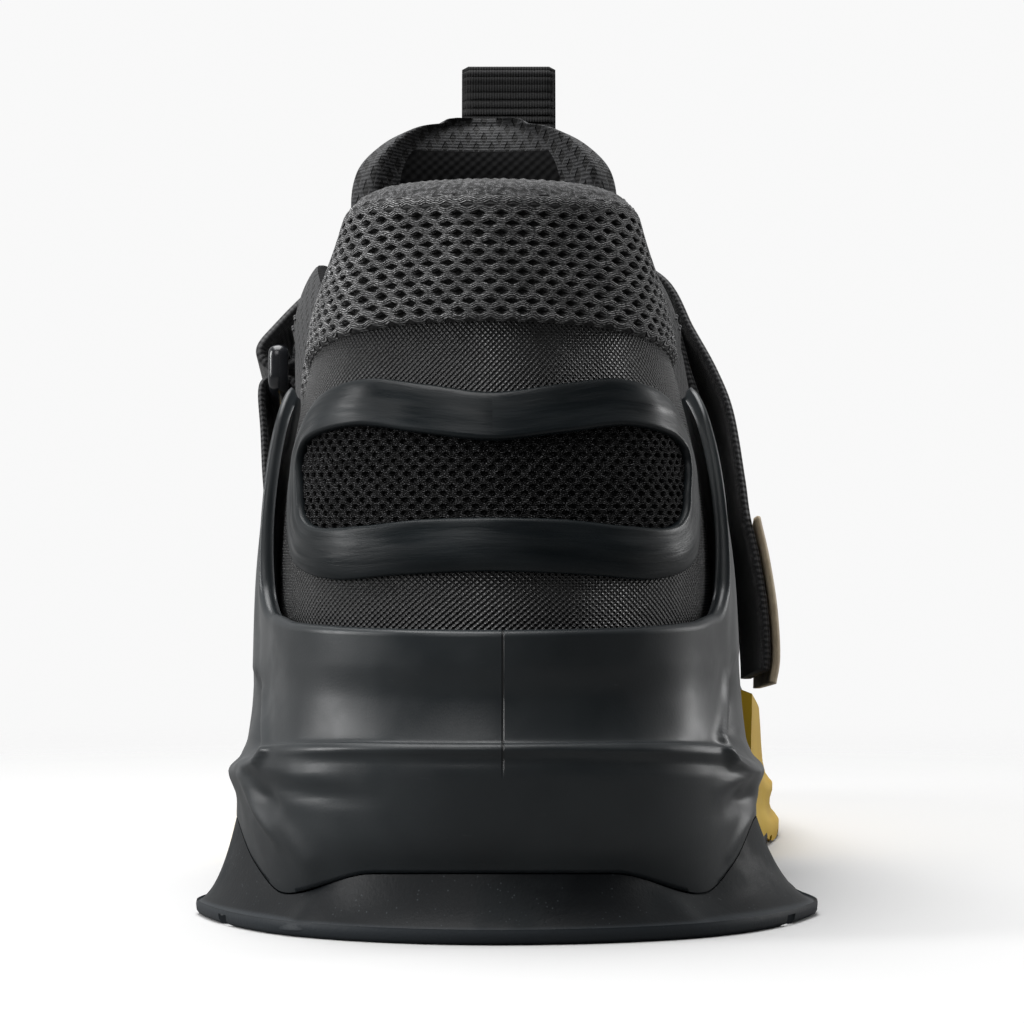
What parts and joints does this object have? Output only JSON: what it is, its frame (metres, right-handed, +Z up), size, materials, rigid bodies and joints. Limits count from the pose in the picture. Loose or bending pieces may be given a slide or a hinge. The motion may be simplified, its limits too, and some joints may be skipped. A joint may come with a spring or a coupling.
{
  "type": "weightlifting shoe",
  "caption": "Right weightlifting shoe with a raised moulded heel block, side wings, flared rubber soles, hollow textile upper, padded tongue, lace and instep strap",
  "frame": {"origin": "on the floor, in the middle of the flat under the heel", "axes": "+Y points to the toe, +Z up, +X to the outer (lateral) side of this right shoe"},
  "size_m": [0.1022, 0.2935, 0.1374],
  "materials": {
    "black_rubber": "matte, finely speckled",
    "mustard_rubber": "matte",
    "slate_foam": "satin moulded skin",
    "black_textile": "woven, slight sheen",
    "black_film": "glossy film",
    "grey_mesh": "spacer mesh",
    "black_ribbon": "ribbed ribbon",
    "insole_foam": "brushed cloth on foam",
    "black_webbing": "webbing and loop tape",
    "tan_tab": "smooth, satin",
    "black_moulded": "glossy",
    "black_lace": "woven"
  },
  "bodies": {
    "root": {"heel_outsole": "black_rubber", "forefoot_outsole": "mustard_rubber", "midsole": "slate_foam", "upper": "black_textile", "heel_film_ring": "black_film", "tongue": "grey_mesh", "tongue_loop": "black_ribbon", "insole": "insole_foam", "strap": "black_webbing", "strap_end_tab": "tan_tab", "strap_ring": "black_moulded", "ring_tab": "black_webbing", "lace": "black_lace"}
  },
  "joints": []
}
